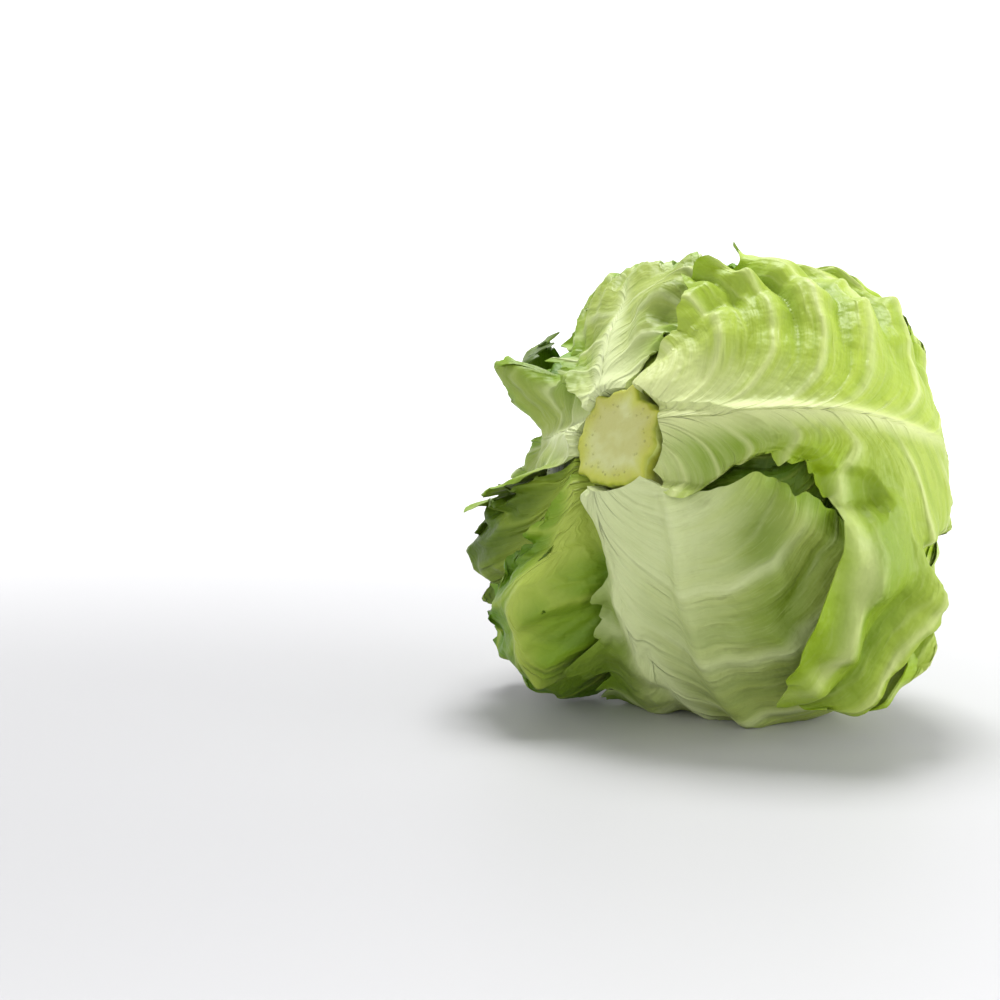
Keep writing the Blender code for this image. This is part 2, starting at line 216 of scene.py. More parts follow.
def smooth_through(stations, x):
    """A curve through the stations that doesn't overshoot them."""
    xs, ys = (np.array(c, float) for c in zip(*stations))
    steps = np.diff(ys) / np.diff(xs)
    slopes = np.zeros_like(ys)
    slopes[1:-1] = np.where(steps[1:] * steps[:-1] > 0,
                            2 * steps[1:] * steps[:-1] / (steps[1:] + steps[:-1] + 1e-12), 0)
    slopes[0], slopes[-1] = steps[0], steps[-1]
    x = np.clip(x, xs[0], xs[-1])
    i = np.clip(np.searchsorted(xs, x, side="right") - 1, 0, len(xs) - 2)
    h = xs[i + 1] - xs[i]
    t = (x - xs[i]) / h
    return ((1 + 2 * t) * (1 - t) ** 2 * ys[i] + t * (1 - t) ** 2 * h * slopes[i]
            + t * t * (3 - 2 * t) * ys[i + 1] + t * t * (t - 1) * h * slopes[i + 1])


def smoothstep(low, high, x):
    t = np.clip((x - low) / (high - low), 0, 1)
    return t * t * (3 - 2 * t)


def round_radius(radii, ways):
    """The head's or the heart's radius along unit vectors, with its swells and its hollow."""
    tilt = np.degrees(np.arccos(np.clip(ways @ stem_axis, -1, 1)))
    radius = smooth_through(tuple(zip(TILTS, radii)), tilt)
    for swell_tilt, swell_turn, height, reach in HEAD_SWELLS:
        middle = direction(math.radians(swell_tilt), math.radians(swell_turn))
        off = np.degrees(np.arccos(np.clip(ways @ middle, -1, 1)))
        radius += height * np.exp(-((off / reach) ** 2))
    return radius * MM


for tilt in (15, 60, 90, 120, 180):
    way = direction(math.radians(tilt), 0.0)
    print("tilt", tilt, "radius", round(float(round_radius(HEAD_RADII, way)) * 1000, 1), "mm")

# %% [markdown]
# ## Laying leaves over each other
#
# A leaf rests on whatever is under it. To know how high that is, rays are shot at the head
# from all round, eight thousand of them, and each remembers the outermost thing it met. A leaf
# spans small hollows, so it takes the highest ray near by, and then a smooth mean of those.
# A cloth simulation could do this too, but it would take minutes and never land twice alike.


# %% What is covered so far
from mathutils.bvhtree import BVHTree

RAYS = 8000
RAY_START = 0.3
DRAPE_SPAN = math.radians(3.4)
LEAF_GAP = 0.4 * MM
# Directions compared with all rays at a time, to fit in memory.
ADD_BATCH, DRAPE_BATCH = 500, 2000


class Covered:
    """The outermost surface so far, as a radius in each of many directions."""

    def __init__(self):
        i = np.arange(RAYS) + 0.5
        height, turn = 1 - 2 * i / RAYS, i * math.pi * (3 - math.sqrt(5))
        ring = np.sqrt(1 - height**2)
        self.ways = np.stack([ring * np.cos(turn), ring * np.sin(turn), height], axis=1).astype(np.float32)
        self.radii = np.zeros(RAYS, np.float32)
        self.highest = self.radii

    def add(self, obj):
        count = len(obj.data.vertices)
        places = np.empty(count * 3, np.float32)
        obj.data.vertices.foreach_get("co", places)
        tree = BVHTree.FromPolygons(places.reshape(-1, 3).tolist(),
                                    [tuple(p.vertices) for p in obj.data.polygons])
        middle = Vector(HEAD_MIDDLE)
        for i, way in enumerate(self.ways.tolist()):
            out = Vector(way)
            hit = tree.ray_cast(middle + out * RAY_START, -out, RAY_START)
            if hit[0] is not None:
                self.radii[i] = max(self.radii[i], (hit[0] - middle).length)
        self.highest = np.zeros_like(self.radii)
        for start in range(0, RAYS, ADD_BATCH):
            near = self.ways[start:start + ADD_BATCH] @ self.ways.T >= math.cos(DRAPE_SPAN)
            self.highest[start:start + ADD_BATCH] = (near * self.radii).max(axis=1)

    def drape(self, ways):
        """The radius at which a leaf along these directions rests on what is under it."""
        found = np.zeros(len(ways))
        for start in range(0, len(ways), DRAPE_BATCH):
            part = ways[start:start + DRAPE_BATCH].astype(np.float32)
            weight = np.clip(part @ self.ways.T - math.cos(DRAPE_SPAN), 1e-12, None)
            found[start:start + DRAPE_BATCH] = weight @ self.highest / weight.sum(axis=1)
        return found


covered = Covered()
print("rays:", RAYS)

# %% [markdown]
# ## A finish for everything green
#
# A lettuce leaf is a thin wet sheet with a waxy skin, which gives it a soft gloss. Its colour
# runs from almost white at the foot and the midrib, through yellow-green, to a true green at
# the edge that saw the sun. Light also goes a little way in. That could be rendered too, but
# it takes far longer, and clear yellow-greens come close to the same glow. Every leaf mesh
# carries its own map of the colour as attributes: how far along a place is, how far from
# the midrib and from the edge, and which vein it is on.


# %% Leaf finish
def mix(factor, first, second):
    """One colour going over into another."""
    tree = factor.tree
    node = tree.nodes.new("ShaderNodeMix")
    node.data_type = "RGBA"
    for socket, value in zip((node.inputs[0], node.inputs[6], node.inputs[7]), (factor, first, second)):
        feed(tree, socket, (*value, 1.0) if isinstance(value, tuple) else value)
    return Wire(tree, node.outputs[2])


def carried(tree, name):
    """An attribute that the mesh carries."""
    return add_node(tree, "ShaderNodeAttribute", output="Fac", attribute_name=name)


def new_finish(name):
    finish = bpy.data.materials.new(name)
    finish.use_nodes = True
    shader = finish.node_tree.nodes["Principled BSDF"]
    return finish, finish.node_tree, shader


def bump(tree, height, distance, under=None):
    inputs = {"Height": height, "Distance": distance, "Strength": 1.0}
    if under is not None:
        inputs["Normal"] = under
    return add_node(tree, "ShaderNodeBump", inputs)


def leaf_finish(name, foot, blade, edge, shade_and_streak_green, foot_end=0.55, edge_width=16 * MM):
    """The finish of a leaf: its colours at the foot, on the blade and at the edge, and a darker green for
    its streaks and for the shade painted into hollows.
    """
    finish, tree, shader = new_finish(name)
    place = add_node(tree, "ShaderNodeTexCoord", output="Object")
    along, aside, margin = carried(tree, "along"), carried(tree, "aside"), carried(tree, "margin")
    vein, pillow, off = carried(tree, "vein"), carried(tree, "pillow"), carried(tree, "off")
    streak, shade = carried(tree, "streak"), carried(tree, "shade")
    blotch = noise(tree, place, scale=34.0, detail=3.0)
    fine = noise(tree, place, scale=650.0)

    # Streaks that run with the veins: broad bands, and hairs as fine as the leaf's fibres.
    def streaks(per_mm, stretch, detail):
        run = add_node(tree, "ShaderNodeCombineXYZ",
                       {"X": streak * per_mm, "Y": aside * (1000.0 * per_mm * stretch), "Z": along * 2.0})
        return noise(tree, run, scale=1.0, detail=detail)

    bands = streaks(per_mm=0.22, stretch=0.16, detail=2.0)
    hairs = streaks(per_mm=1.5, stretch=0.10, detail=3.0)

    # From the foot to the blade, in uneven tongues that follow the veins.
    reach = along + off * 0.3 + (blotch - 0.5) * 0.4 + (bands - 0.5) * 0.35
    colour = mix(ease(reach, 0.08, foot_end), foot, blade)
    colour = mix((1.0 - ease(bands, 0.32, 0.62)) * ease(along, 0.1, 0.4) * 0.4, colour, shade_and_streak_green)
    # The green of the edge.
    edge_reach = margin + (blotch - 0.5) * (0.9 * edge_width)
    colour = mix((1.0 - ease(edge_reach, 0.0, edge_width)) * ease(along, 0.12, 0.5), colour, edge)
    # Painted shade: hollows between folds are deeper green.
    colour = mix((1.0 - pillow) * ease(along, 0.1, 0.5) * (0.35 + bands * 0.8), colour, shade_and_streak_green)
    # Painted shade: the patches listed for each leaf are darker, as if in the shade of another leaf.
    colour = mix(shade * (0.5 + bands * 0.7), colour, shade_and_streak_green)
    # Veins: a soft pale line down each fold, and finer ones between.
    main = bell(fraction(vein) - 0.5, 0.085) * ease(off, 0.0, 0.1) * (1.0 - ease(off, 0.55, 1.15))
    side = bell(fraction(vein * 3.0 + off * 1.6 + (blotch - 0.5) * 1.2) - 0.5, 0.12)
    side = side * ease(bands, 0.4, 0.7)
    colour = mix(main * (0.20 + bands * 0.6) + side * 0.16, colour, foot)
    rib_width = 5.0 * MM * (1.0 - along * 0.7)
    rib = bell(aside / rib_width, 1.0) * (1.0 - ease(along, 0.5, 1.0))
    colour = mix(rib * 0.92, colour, foot)
    # Hairs, a little paler and a little darker.
    colour = mix(ease(hairs, 0.5, 0.75) * 0.10, colour, foot)
    colour = mix((1.0 - ease(hairs, 0.25, 0.5)) * 0.10 + fine * 0.05, colour, shade_and_streak_green)
    feed(tree, shader.inputs["Base Color"], colour)

    # A waxy skin that is a little uneven: hairs, then bands, blisters and veins as bumps.
    feed(tree, shader.inputs["Roughness"], 0.38 + blotch * 0.14 + hairs * 0.10)
    shader.inputs["Specular IOR Level"].default_value = 0.32
    normal = bump(tree, hairs + fine * 0.5, 0.10 * MM)
    blister = noise(tree, place, scale=190.0) * (1.0 - rib)
    normal = bump(tree, bands + blotch, 0.8 * MM, normal)
    normal = bump(tree, blister, 0.9 * MM, normal)
    normal = bump(tree, main * 0.6 + side * 0.5, 0.5 * MM, normal)
    feed(tree, shader.inputs["Normal"], normal)
    return finish


# The last colour of each finish is the darker green of its streaks and of the shade painted into its
# hollows.
finishes = {
    "pale": leaf_finish("pale_leaf", (0.62, 0.68, 0.30), (0.36, 0.47, 0.050), (0.28, 0.42, 0.007),
                        (0.18, 0.29, 0.006), foot_end=0.45, edge_width=13 * MM),
    "white": leaf_finish("white_leaf", (0.62, 0.69, 0.35), (0.35, 0.43, 0.085), (0.20, 0.34, 0.008),
                         (0.15, 0.23, 0.010), foot_end=0.75, edge_width=12 * MM),
    "mid": leaf_finish("mid_leaf", (0.42, 0.52, 0.08), (0.19, 0.32, 0.010), (0.10, 0.23, 0.004),
                       (0.08, 0.16, 0.003), foot_end=0.4),
    "bright": leaf_finish("bright_leaf", (0.46, 0.58, 0.07), (0.24, 0.41, 0.012), (0.16, 0.34, 0.005),
                          (0.10, 0.22, 0.004), foot_end=0.4),
    "deep": leaf_finish("deep_leaf", (0.30, 0.40, 0.04), (0.13, 0.20, 0.004), (0.075, 0.14, 0.003),
                        (0.045, 0.085, 0.002), foot_end=0.35),
}
print("finishes:", ", ".join(finishes))

# %% [markdown]
# ## The rule for a leaf
#
# The sheet is made in Python, with its foot, its tip and its uneven edges. What turns it
# into a leaf is a Geometry Nodes tree. It raises the folds, gathers the edge into ruffles,
# dents and crumples the blade a little, and gives it a thickness, with the midrib as a thick
# rounded bar. Nothing of that ever goes inwards, so a leaf can't cut into the one under it.
# Each leaf could be sculpted by hand instead, but a rule treats all eleven alike. First come
# the inputs, which are all that differs from leaf to leaf.

# %% Inputs of the leaf tree
leaf_tree = bpy.data.node_groups.new("leaf_blade", "GeometryNodeTree")
leaf_tree.interface.new_socket("Geometry", in_out="INPUT", socket_type="NodeSocketGeometry")
leaf_tree.interface.new_socket("Geometry", in_out="OUTPUT", socket_type="NodeSocketGeometry")
leaf_inputs = {}
for name, kind in (
    ("Middle", "Vector"), ("Folds", "Float"), ("Fold depth left", "Float"), ("Fold depth right", "Float"),
    ("Ruffle", "Float"), ("Ruffle count", "Float"), ("Phase", "Float"), ("Crumple", "Float"),
    ("Dents", "Float"), ("Dent size", "Float"), ("Pleat", "Float"), ("Pleat place", "Float"),
    ("Vein height", "Float"), ("Thickness", "Float"), ("Foot swell", "Float"), ("Midrib", "Float"),
    ("Midrib width", "Float"), ("Length", "Float"), ("Table drop", "Float"), ("Seed", "Float"),
    ("Finish", "Material"),
):
    socket = leaf_tree.interface.new_socket(name, in_out="INPUT", socket_type="NodeSocket" + kind)
    leaf_inputs[name] = socket.identifier
group_in = leaf_tree.nodes.new("NodeGroupInput")
given = {name: Wire(leaf_tree, group_in.outputs[name]) for name in leaf_inputs}
print(len(given), "inputs")


# %% [markdown]
# ## Where the tree starts from
#
# The sheet already carries maps: how far along and across the leaf a place is, how far from
# the midrib and the edge, and which skin it is on. The tree reads those, and the direction
# from the head's middle, which the place will move along. A seed makes each leaf's noise its own.


# %% Maps on the sheet
def leaf_map(name):
    """An attribute of the sheet."""
    return add_node(leaf_tree, "GeometryNodeInputNamedAttribute", {"Name": name}, output="Attribute",
                    data_type="FLOAT")


across, along, off = leaf_map("across"), leaf_map("along"), leaf_map("off")
aside, base, skin, margin = leaf_map("aside"), leaf_map("base"), leaf_map("skin"), leaf_map("margin")
position = add_node(leaf_tree, "GeometryNodeInputPosition")
way = vector_sum(leaf_tree, "NORMALIZE", vector_sum(leaf_tree, "SUBTRACT", position, given["Middle"]))

seeded = vector_sum(leaf_tree, "ADD", position, add_node(
    leaf_tree, "ShaderNodeCombineXYZ", {"X": given["Seed"]}))
uneven = noise(leaf_tree, seeded, scale=22.0)
print(len(leaf_tree.nodes), "nodes read the sheet")

# %% [markdown]
# ## Folds
#
# On the real leaf the veins leave the midrib one after another, and the blade puffs up
# between them. So the folds start at the midrib and fan out. They are made from one running
# number, the vein, which grows by 1 from each vein to the next: its cosine gives pillows with
# sharp valleys. A wave texture would be too even and wouldn't follow the veins.

# %% Folds
is_right = work_out(leaf_tree, "GREATER_THAN", across, 0.0)
lean = (off ** 0.6) * (1.0 - along * 0.35) * 0.5
vein = given["Folds"] * (along - lean + (uneven - 0.5) * 0.10) + given["Phase"]
pillow = (0.5 - work_out(leaf_tree, "COSINE", vein * math.tau) * 0.5) ** 0.5
depth = given["Fold depth left"] * (1.0 - is_right) + given["Fold depth right"] * is_right
opened = ease(off, 0.06, 0.65) * ease(along, 0.08, 0.4)
pocket = noise(leaf_tree, seeded, scale=55.0, detail=1.0)
folded = depth * opened * pillow * (0.15 + uneven * 0.9 + ease(pocket, 0.38, 0.62) * 0.55)
print(len(leaf_tree.nodes), "nodes with the folds")

# %% [markdown]
# ## Ruffles, dents and crumple
#
# A lettuce leaf grows faster at its edge than in its middle, so the edge has to go up and
# down in ruffles. The rest of the blade is dented where something has pressed it, and finely
# crumpled. Ruffles are a wave near the rim. Dents and crumple are noise, the one folded to
# sharp creases and the other left soft. A pleat is one long ridge beside the midrib.

# %% Ruffles, dents and crumple
PLEAT_WIDTH = 4.5 * MM

rim = ease((abs(across) ** 5.0 + along ** 5.0) ** 0.2, 0.62, 1.0)
wave = work_out(leaf_tree, "SINE", (given["Ruffle count"] * (along * 0.9 + across * 0.5) + given["Phase"]
                                    + (uneven - 0.5) * 1.5) * math.tau)
ruffled = given["Ruffle"] * rim * (wave * 0.5 + 0.5) * ease(along, 0.1, 0.35)

dent_noise = noise(leaf_tree, seeded, scale=given["Dent size"], detail=1.0)
dented = given["Dents"] * ease(1.0 - abs(dent_noise * 2.0 - 1.0) * 3.4, 0.0, 1.0) * opened
crumple = noise(leaf_tree, seeded, scale=75.0, detail=3.0, roughness=0.55)
crumpled = given["Crumple"] * crumple * (0.35 + opened * 0.65) * ease(along, 0.02, 0.25)
pleated = given["Pleat"] * bell((aside - given["Pleat place"] * (1.0 - along * 0.9)) / PLEAT_WIDTH, 1.0)
pleated = pleated * (1.0 - ease(along, 0.45, 0.9))
print(len(leaf_tree.nodes), "nodes with ruffles, dents and crumple")

# %% [markdown]
# ## Thickness, midrib and table
#
# The blade is thin, and thinnest at its edge. Its veins stand out a little, the midrib is a
# thick bar that runs out toward the tip, and the foot is fleshy. A Solidify modifier would
# give one thickness everywhere, so the front skin is raised here instead. Where the leaf
# would pass through the table it is pressed flat, as the weight of the head does.

# %% Thickness, midrib and table
EDGE_BEVEL = 6 * MM

ridge = bell(fraction(vein) - 0.5, 0.10) * ease(off, 0.03, 0.15) * (1.0 - ease(off, 0.45, 0.95))
veined = given["Vein height"] * ridge

rib_width = given["Midrib width"] * (1.0 - along * 0.75) * 0.5
rib = given["Midrib"] * (1.0 - along) ** 1.3 * bell(aside / rib_width, 1.0)
fleshy = given["Foot swell"] * (1.0 - ease(along, 0.0, 0.14))
blade = given["Thickness"] * (0.55 + ease(margin, 0.0, EDGE_BEVEL) * 0.45) + rib + veined + fleshy

inner = base + folded + ruffled + crumpled + dented + pleated
way_down = add_node(leaf_tree, "ShaderNodeSeparateXYZ", {"Vector": way}, output="Z") * -1.0
table = given["Table drop"] / work_out(leaf_tree, "MAXIMUM", way_down, 0.001)
outer = work_out(leaf_tree, "MINIMUM", inner + blade, table)
inner = work_out(leaf_tree, "MINIMUM", inner, outer - blade)
radius = inner + (outer - inner) * skin
streak = (along - lean) * given["Length"] * 1000.0 + (uneven - 0.5) * 6.0
print(len(leaf_tree.nodes), "nodes so far")

# %% [markdown]
# ## Handing the leaf on
#
# The new place of each point is the head's middle plus its direction times its radius. The
# tree also stores the vein and the pillow, so that the finish colours veins and paints shade into
# hollows from the very sums that shaped them. It ends by making the geometry real and giving it its
# material.

# %% The tree's end
scaled = leaf_tree.nodes.new("ShaderNodeVectorMath")
scaled.operation = "SCALE"
feed(leaf_tree, scaled.inputs[0], way)
feed(leaf_tree, scaled.inputs["Scale"], radius)
new_position = vector_sum(leaf_tree, "ADD", given["Middle"], Wire(leaf_tree, scaled.outputs[0]))
sheet = Wire(leaf_tree, group_in.outputs["Geometry"])
for name, value in (("vein", vein), ("pillow", pillow * opened + (1.0 - opened)), ("streak", streak)):
    sheet = add_node(leaf_tree, "GeometryNodeStoreNamedAttribute",
                     {"Geometry": sheet, "Name": name, "Value": value}, data_type="FLOAT", domain="POINT")
sheet = add_node(leaf_tree, "GeometryNodeSetPosition", {"Geometry": sheet, "Position": new_position})
sheet = add_node(leaf_tree, "GeometryNodeRealizeInstances", {"Geometry": sheet})
sheet = add_node(leaf_tree, "GeometryNodeSetMaterial", {"Geometry": sheet, "Material": given["Finish"]})
group_out = leaf_tree.nodes.new("NodeGroupOutput")
feed(leaf_tree, group_out.inputs["Geometry"], sheet)
print("the leaf tree has", len(leaf_tree.nodes), "nodes")

# %% [markdown]
# ## The leaves of this head
#
# Each leaf is one line of facts: where its midrib is on the head, where its tip ends, how
# wide it is on either side from foot to tip, and how it folds. The order matters, because
# each lies on those before it. Angles are in degrees and lengths in millimetres. A table of
# facts is easier to compare with a photograph than eleven separate models.

# %% What is known about a leaf
from dataclasses import dataclass


@dataclass
class Leaf:
    """One leaf: turn of its midrib, tilt of its tip, and the height of its level.

    Widths, stand and shades are read along the leaf, from 0 at the foot to 1 at the tip.
    A width is the degrees to the low and the high side, a stand the millimetres that the
    leaf stands off, and a shade its place and its reach, along and across. Lean is the
    share of the stand at either side edge.
    """

    name: str
    turn: float
    tip: float
    widths: tuple
    level: float
    slot: str = "mid"
    look: str = "mid"
    cell: float = 1.1
    tip_round: float = 0.25
    thickness: float = 1.0
    rib: float = 3.2
    rib_width: float = 9.0
    foot: float = 0.0
    folds: float = 4.0
    fold_depths: tuple = (2.0, 2.0)
    ruffle: float = 2.0
    ruffle_count: float = 5.0
    notch: float = 0.05
    tooth: float = 2.2
    spine: float = 0.0
    phase: float = 0.0
    crumple: float = 1.4
    dents: float = 0.0
    dent_size: float = 22.0
    pleat: float = 0.0
    pleat_place: float = 0.0
    vein_height: float = 0.4
    shades: tuple = ()
    stand: tuple = ((0, 0), (1, 0))
    lean: tuple = (1.0, 1.0)
    floor: float = 4.0


print("facts for each leaf:", len(Leaf.__dataclass_fields__))

# %% Facts about each leaf
LEAVES = (
    Leaf("inner_leaf", turn=62, tip=150, level=-9, slot="pale", look="mid", cell=1.8,
         widths=((0, 30, 30), (0.3, 50, 50), (0.7, 70, 70), (1, 55, 55)),
         fold_depths=(0.6, 0.6), ruffle=0.4, phase=0.1, crumple=0.3),
    Leaf("back_leaf", turn=196, tip=164, level=-7, cell=1.5,
         widths=((0, 26, 26), (0.3, 46, 46), (0.7, 64, 64), (1, 60, 60)),
         fold_depths=(1.2, 1.2), ruffle=1.0, ruffle_count=6, phase=0.7, crumple=0.5),
    Leaf("crown_leaf", turn=40, tip=168, level=-5, cell=1.4,
         widths=((0, 25, 25), (0.3, 50, 50), (0.7, 68, 68), (1, 80, 80)),
         fold_depths=(1.0, 1.0), ruffle=1.5, ruffle_count=6, phase=0.2, crumple=0.4),
    Leaf("top_back_leaf", turn=108, tip=118, level=-7, look="bright", cell=0.9,
         widths=((0, 24, 24), (0.27, 30, 30), (0.62, 34, 38), (1, 34, 44)),
         fold_depths=(1.0, 1.5), ruffle=5.5, ruffle_count=9, phase=0.35, notch=0.08, tooth=4.0,
         crumple=0.6, stand=((0, 0), (0.3, 1), (0.416, 10), (0.53, 16), (0.66, 15), (0.85, 11), (1, 10)),
         lean=(0.0, 1.0)),
    Leaf("left_back_leaf", turn=170, tip=122, level=-7, slot="deep", look="deep", cell=1.2,
         widths=((0, 22, 22), (0.3, 30, 34), (0.7, 38, 38), (1, 32, 36)),
         fold_depths=(2.5, 2.5), ruffle=4.0, ruffle_count=6, phase=0.6, tooth=3.0,
         stand=((0, 0), (0.3, 2), (0.45, 10), (0.6, 14), (0.75, 13), (1, 7)), lean=(0.3, 0.4)),
    Leaf("loose_leaf", turn=210, tip=84, level=-7, slot="deep", look="deep", cell=0.9,
         widths=((0, 16, 16), (0.3, 18, 18), (0.6, 20, 24), (1, 18, 22)), folds=4.0,
         fold_depths=(4.0, 4.0), ruffle=6.5, ruffle_count=8, phase=0.15, dents=7.0, dent_size=42.0,
         tooth=4.0, crumple=3.0, stand=((0, 0), (0.25, 8), (0.5, 19), (0.7, 14), (1, 10)), lean=(0.6, 0.7)),
    Leaf("lower_left_leaf", turn=232, tip=88, level=-6, look="mid", cell=0.8,
         widths=((0, 20, 20), (0.3, 16, 20), (0.7, 15, 24), (1, 14, 22)), folds=4.0,
         fold_depths=(3.0, 0.5), ruffle=3.0, ruffle_count=7, phase=0.8, dents=2.0, dent_size=45.0,
         tooth=3.0, crumple=1.2, stand=((0, 0), (0.3, 2), (0.7, 5), (1, 4)), lean=(1.0, 0.0),
         floor=1.0),
    Leaf("left_leaf", turn=160, tip=50, level=-4, slot="pale", look="white", cell=0.8, foot=2.0,
         widths=((0, 34, 32), (0.5, 32, 32), (1, 28, 30)), folds=2.5, fold_depths=(2.0, 2.5),
         ruffle=3.0, ruffle_count=4, stand=((0, 0), (0.5, 1.5), (1, 4)), lean=(0.3, 1.0),
         tip_round=0.12, tooth=1.5, phase=0.4, dents=2.0, dent_size=30.0),
    Leaf("upper_leaf", turn=100, tip=64, level=-3.5, slot="pale", look="white", cell=0.8, foot=2.5,
         widths=((0, 32, 30), (0.18, 36, 30), (0.4, 42, 28), (0.8, 46, 28), (1, 40, 30)),
         fold_depths=(1.8, 2.0), ruffle=2.2, ruffle_count=7, phase=0.3, rib_width=14.0, rib=2.2,
         tip_round=0.15, tooth=2.4, stand=((0, 0), (0.3, 4), (0.6, 7), (0.85, 7), (1, 4)),
         lean=(0.0, 0.7), crumple=0.5, spine=2.5),
    Leaf("lower_leaf", turn=256, tip=150, level=-3.5, slot="pale", look="white", cell=1.1, foot=2.5,
         widths=((0, 18, 46), (0.14, 7, 60), (0.27, 9, 74), (0.43, 17, 78), (0.6, 24, 78), (1, 26, 50)),
         thickness=1.4, folds=5.0, fold_depths=(1.5, 3.8), ruffle=1.0, phase=0.55, rib=4.6,
         rib_width=14.0, floor=0.0, crumple=0.8, dents=4.4, dent_size=30.0, pleat=5.5,
         pleat_place=0.029, shades=((0.42, 0.56, 0.07, 0.14), (0.32, 0.75, 0.06, 0.16),
                                   (0.36, -0.8, 0.12, 0.45))),
    Leaf("right_leaf", turn=358, tip=132, level=-6.5, slot="pale", look="pale", cell=0.9, foot=2.5,
         widths=((0, 46, 52), (0.10, 49, 56), (0.15, 46, 58), (0.22, 26, 59), (0.34, 15, 64),
                 (0.44, 17, 68), (0.55, 28, 70), (0.61, 46, 71), (0.68, 70, 72), (0.77, 84, 72),
                 (0.87, 74, 70), (1, 44, 56)),
         folds=7.0, fold_depths=(5.8, 7.4), ruffle=2.2, ruffle_count=7, rib=4.5, rib_width=8.0,
         tooth=2.2, crumple=1.2, vein_height=0.5, dents=1.6, dent_size=40.0, spine=4.0,
         shades=((0.14, -0.4, 0.16, 0.5), (0.62, -0.75, 0.10, 0.2))),
)
print(len(LEAVES), "leaves")

# %% [markdown]
# ## From facts to a sheet
#
# The sheet is a grid, so every point knows how far along the leaf it is and how far across.
# The two are turned into tilt and turn, with the edge's notches and teeth worked in. Then
# the sheet is doubled, back and front, and the two are sewn together round the rim, so that
# the leaf is one closed skin from the start. A drawn outline could be filled with triangles
# instead, but they would have no rows along the leaf for the folds to follow.

# %% Outline of a leaf
STEM_CUT_RADIUS = 16.0 * MM
STEM_CLEARANCE = 0.1 * MM
# The cut's middle isn't quite on the head's axis: its offsets toward turn 0 and turn 90.
STEM_ASIDE = (2.0 * MM, -1.8 * MM)
FOOT_TILT = 14
# Radians on the head for each millimetre of a spine or a tooth.
SPINE_REACH, TOOTH_REACH = 0.014, 0.015


def leaf_outline(leaf, u, v, foot):
    """Tilt and turn of the leaf's places, in radians."""
    stations = np.array(leaf.widths, float)
    low = smooth_through(tuple(zip(stations[:, 0], stations[:, 1])), v)
    high = smooth_through(tuple(zip(stations[:, 0], stations[:, 2])), v)
    waves = 1 + (leaf.notch * np.sin(math.tau * (0.5 * leaf.ruffle_count * v + leaf.phase))
                 * smoothstep(0.1, 0.4, v))
    turn = np.radians(leaf.turn + np.where(u < 0, low, high) * u * waves * (1 - 0.3 * v**6))
    scallop = 1 + 0.5 * leaf.notch * np.sin(math.tau * (1.7 * u + leaf.phase)) * v
    length = (math.radians(leaf.tip) - foot) * (1 - leaf.tip_round * np.abs(u) ** 2.6) * scallop
    # The teeth: short uneven points along the side edges and the tip.
    count = leaf.phase + leaf.ruffle_count * 1.2 * v
    tooth = 0.7 * np.sin(math.tau * count) + 0.4 * np.sin(math.tau * 2.3 * count + 1.3)
    tooth += 0.2 * np.sin(math.tau * 4.1 * count + 0.4) * (1 + np.sin(5.0 * count))
    # And a few long spines where the leaf is narrow, near its foot.
    spine = np.maximum(0, np.sin(math.tau * (7.3 * v + leaf.phase)) * np.sin(11.0 * v + 1.0)) ** 6
    spine = SPINE_REACH * leaf.spine * spine * smoothstep(0.08, 0.16, v) * (1 - smoothstep(0.45, 0.6, v))
    tooth = TOOTH_REACH * leaf.tooth * tooth * smoothstep(0.12, 0.3, v) + spine
    turn = turn + tooth * np.sign(u) * np.abs(u) ** 12
    ends = math.tau * (leaf.phase + leaf.ruffle_count * 1.3 * u)
    length = length + TOOTH_REACH * leaf.tooth * (np.sin(ends) + 0.5 * np.sin(3.1 * ends)) * v**12
    return foot + v * length, turn


def foot_tilt(leaf, turn):
    """The tilt at which each place on a leaf's foot meets the stem."""
    tilt = np.full(turn.shape, math.radians(FOOT_TILT))
    toward = STEM_ASIDE[0] * np.cos(turn) + STEM_ASIDE[1] * np.sin(turn)
    beside = toward + np.sqrt(STEM_CUT_RADIUS**2 - STEM_ASIDE[0]**2 - STEM_ASIDE[1]**2 + toward**2)
    for _ in range(3):
        ways = direction(tilt, turn)
        radius = np.maximum(covered.drape(ways), round_radius(HEAD_RADII, ways) + leaf.level * MM)
        tilt = np.arcsin((beside + STEM_CLEARANCE) / (radius + LEAF_GAP))
    return tilt


print("leaves meet the stem at", round(STEM_CUT_RADIUS / MM, 1), "mm from its middle")

# %% [markdown]
# ## The sheet and its maps
#
# A real leaf has a back and a front skin that meet at its edge. The mesh is built the same
# way, straight from arrays, because a loop over so many points would be slow. The sheet lies
# at the leaf's own level on the round head or on whatever is under it, where that is higher.
# A soft maximum blends the two, so that a leaf goes over a step in a gentle curve.


# %% The closed sheet, with its attributes
# Radii in millimetres that turn angles into lengths, to count the rows and the columns.
LENGTH_RADIUS, BREADTH_RADIUS = 70, 72
SOFT_STEP = 1.5 * MM


def carry(mesh, maps):
    """Stores each map's number for each vertex in the mesh."""
    for name, values in maps.items():
        layer = mesh.attributes.new(name, "FLOAT", "POINT")
        layer.data.foreach_set("value", np.asarray(values, np.float32))


